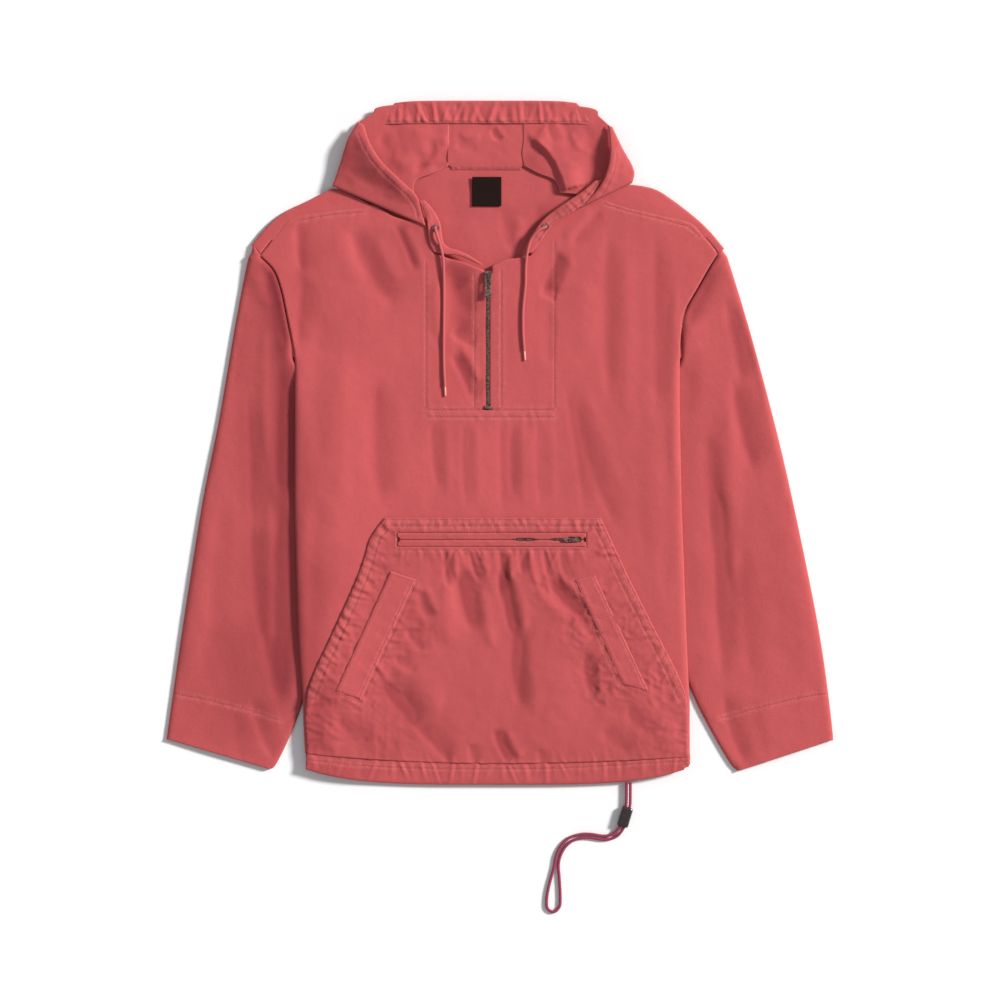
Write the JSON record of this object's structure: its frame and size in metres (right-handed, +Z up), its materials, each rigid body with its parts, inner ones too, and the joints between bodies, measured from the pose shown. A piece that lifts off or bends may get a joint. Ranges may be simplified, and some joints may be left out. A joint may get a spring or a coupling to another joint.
{
  "type": "anorak pullover",
  "caption": "Hooded cotton anorak pullover laid flat, with a half zip, a zipped kangaroo pocket, hand warmer openings, and drawcords in the hood and hem.",
  "frame": {"origin": "on the surface the garment lies on, under the middle of the garment without its cords", "axes": "+Y from hem to hood, +X towards the viewer's right with the front up, which is the wearer's left, +Z up out of the front of the garment"},
  "size_m": [0.8012, 0.9746, 0.0191],
  "materials": {
    "dyed_cotton": "matte garment-dyed cotton, rubbed paler on its seams",
    "zip_tape": "woven tape, dyed with the garment",
    "woven_label": "dark woven label, bare",
    "aged_brass": "dark antique brass",
    "cord_cotton": "braided cotton cord, dyed with the garment",
    "cord_tip": "glossy pale pink plastic tip",
    "hem_cord_cotton": "braided cord, wine red",
    "stop_plastic": "dark brown moulded plastic"
  },
  "bodies": {
    "garment": {"back_panel": "dyed_cotton", "cord_stop": "stop_plastic", "cord_tip_left": "cord_tip", "cord_tip_right": "cord_tip", "eyelet_left": "aged_brass", "eyelet_right": "aged_brass", "front_panel": "dyed_cotton", "front_zip_chain": "aged_brass", "front_zip_slider": "aged_brass", "front_zip_stop": "aged_brass", "front_zip_tape": "zip_tape", "hand_welt_left": "dyed_cotton", "hand_welt_right": "dyed_cotton", "hem_casing_back": "dyed_cotton", "hem_casing_front": "dyed_cotton", "hem_cord": "hem_cord_cotton", "hood_casing": "dyed_cotton", "hood_casing_left": "dyed_cotton", "hood_casing_right": "dyed_cotton", "hood_centre": "dyed_cotton", "hood_cord_left": "cord_cotton", "hood_cord_right": "cord_cotton", "hood_fold": "dyed_cotton", "hood_left": "dyed_cotton", "hood_right": "dyed_cotton", "kangaroo_pocket": "dyed_cotton", "neck_label": "woven_label", "pocket_welt_lower": "dyed_cotton", "pocket_welt_upper": "dyed_cotton", "pocket_zip_chain": "aged_brass", "pocket_zip_slider": "aged_brass", "shoulder_left": "dyed_cotton", "shoulder_right": "dyed_cotton", "sleeve_left": "dyed_cotton", "sleeve_right": "dyed_cotton"},
    "front_pull": {"front_zip_pull": "aged_brass"},
    "pocket_pull": {"pocket_zip_pull": "aged_brass"}
  },
  "joints": [
    {"name": "front_pull_hinge", "type": "hinge", "parent": "garment", "child": "front_pull", "pos_m": [-0.014, 0.2005, 0.01376], "axis": [-1, 0, 0], "range_deg": [0, 140]},
    {"name": "pocket_pull_hinge", "type": "hinge", "parent": "garment", "child": "pocket_pull", "pos_m": [0.09, -0.1165, 0.0149], "axis": [0, 1, 0], "range_deg": [0, 140]}
  ]
}
